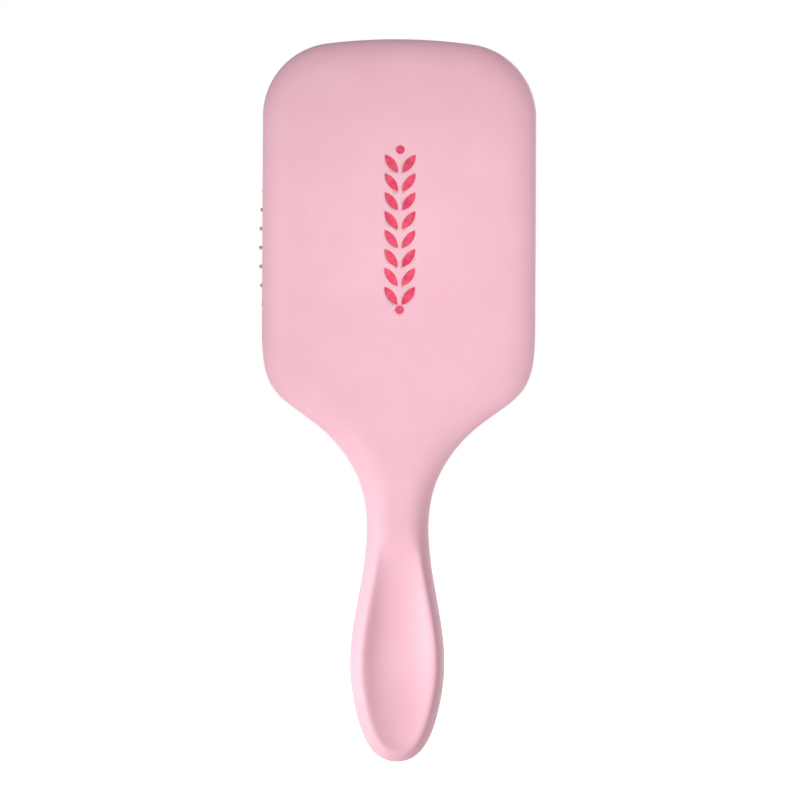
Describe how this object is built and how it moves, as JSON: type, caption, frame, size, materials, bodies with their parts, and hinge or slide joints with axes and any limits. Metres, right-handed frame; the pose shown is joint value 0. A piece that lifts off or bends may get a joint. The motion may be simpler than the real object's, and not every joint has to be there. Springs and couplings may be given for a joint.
{
  "type": "paddle hair brush",
  "caption": "Flat paddle hair brush with a soft-touch shell, thumb dish, domed rubber cushion that presses in, and leaning ball-tip pins.",
  "frame": {"origin": "the middle of the hand grip, on the joint plane between the two shells", "axes": "+Z along the length with the head up, -Y the smooth back, +Y the side with the pins, X across the width"},
  "size_m": [0.0946, 0.0429, 0.2455],
  "materials": {
    "soft_touch_shell": "soft-touch matte coat, pink",
    "frame_plastic": "moulded, dark grey",
    "cushion_rubber": "matte rubber, dark grey",
    "pin_plastic": "moulded nylon, mid grey",
    "foil": "hot-stamped metallic foil, rose red"
  },
  "bodies": {
    "handle": {"back_shell": "soft_touch_shell", "cushion_frame": "frame_plastic", "cushion_pad": "cushion_rubber", "emblem_foil": "foil", "front_shell": "soft_touch_shell"},
    "pins_centre": {"pin_row_04_centre": "pin_plastic", "pin_row_05_centre": "pin_plastic", "pin_row_06_centre": "pin_plastic", "pin_row_07_centre": "pin_plastic", "pin_row_08_centre": "pin_plastic", "pin_row_09_centre": "pin_plastic", "pin_row_10_centre": "pin_plastic", "pin_row_11_centre": "pin_plastic", "pin_row_12_centre": "pin_plastic"},
    "pins_inner": {"pin_row_02_inner": "pin_plastic", "pin_row_03_inner": "pin_plastic", "pin_row_04_inner": "pin_plastic", "pin_row_05_inner": "pin_plastic", "pin_row_06_inner": "pin_plastic", "pin_row_07_inner": "pin_plastic", "pin_row_08_inner": "pin_plastic", "pin_row_09_inner": "pin_plastic", "pin_row_10_inner": "pin_plastic", "pin_row_11_inner": "pin_plastic", "pin_row_12_inner": "pin_plastic", "pin_row_13_inner": "pin_plastic", "pin_row_14_inner": "pin_plastic"},
    "pins_outer": {"pin_row_01_outer": "pin_plastic", "pin_row_02_outer": "pin_plastic", "pin_row_03_outer": "pin_plastic", "pin_row_04_outer": "pin_plastic", "pin_row_05_outer": "pin_plastic", "pin_row_07_outer": "pin_plastic", "pin_row_08_outer": "pin_plastic", "pin_row_09_outer": "pin_plastic", "pin_row_11_outer": "pin_plastic", "pin_row_12_outer": "pin_plastic", "pin_row_13_outer": "pin_plastic", "pin_row_14_outer": "pin_plastic", "pin_row_15_outer": "pin_plastic"},
    "pins_corner": {"pin_row_01_corner": "pin_plastic", "pin_row_02_corner": "pin_plastic", "pin_row_03_corner": "pin_plastic", "pin_row_04_corner": "pin_plastic", "pin_row_05_corner": "pin_plastic", "pin_row_06_corner": "pin_plastic", "pin_row_10_corner": "pin_plastic", "pin_row_11_corner": "pin_plastic", "pin_row_12_corner": "pin_plastic", "pin_row_13_corner": "pin_plastic", "pin_row_14_corner": "pin_plastic", "pin_row_15_corner": "pin_plastic"}
  },
  "joints": [
    {"name": "cushion_press", "type": "slide", "parent": "handle", "child": "pins_centre", "axis": [0, -1, 0], "range_m": [0, 0.004], "stiffness_N_per_m": 1200, "deforming": ["cushion_pad"]},
    {"name": "cushion_press_inner", "type": "slide", "parent": "handle", "child": "pins_inner", "axis": [0, -1, 0], "range_m": [0, 0.00332]},
    {"name": "cushion_press_outer", "type": "slide", "parent": "handle", "child": "pins_outer", "axis": [0, -1, 0], "range_m": [0, 0.00255]},
    {"name": "cushion_press_corner", "type": "slide", "parent": "handle", "child": "pins_corner", "axis": [0, -1, 0], "range_m": [0, 0.00164]}
  ],
  "couplings": [
    {"joint": "cushion_press_inner", "follows": "cushion_press", "ratio": 0.828},
    {"joint": "cushion_press_outer", "follows": "cushion_press", "ratio": 0.6344},
    {"joint": "cushion_press_corner", "follows": "cushion_press", "ratio": 0.4086}
  ]
}
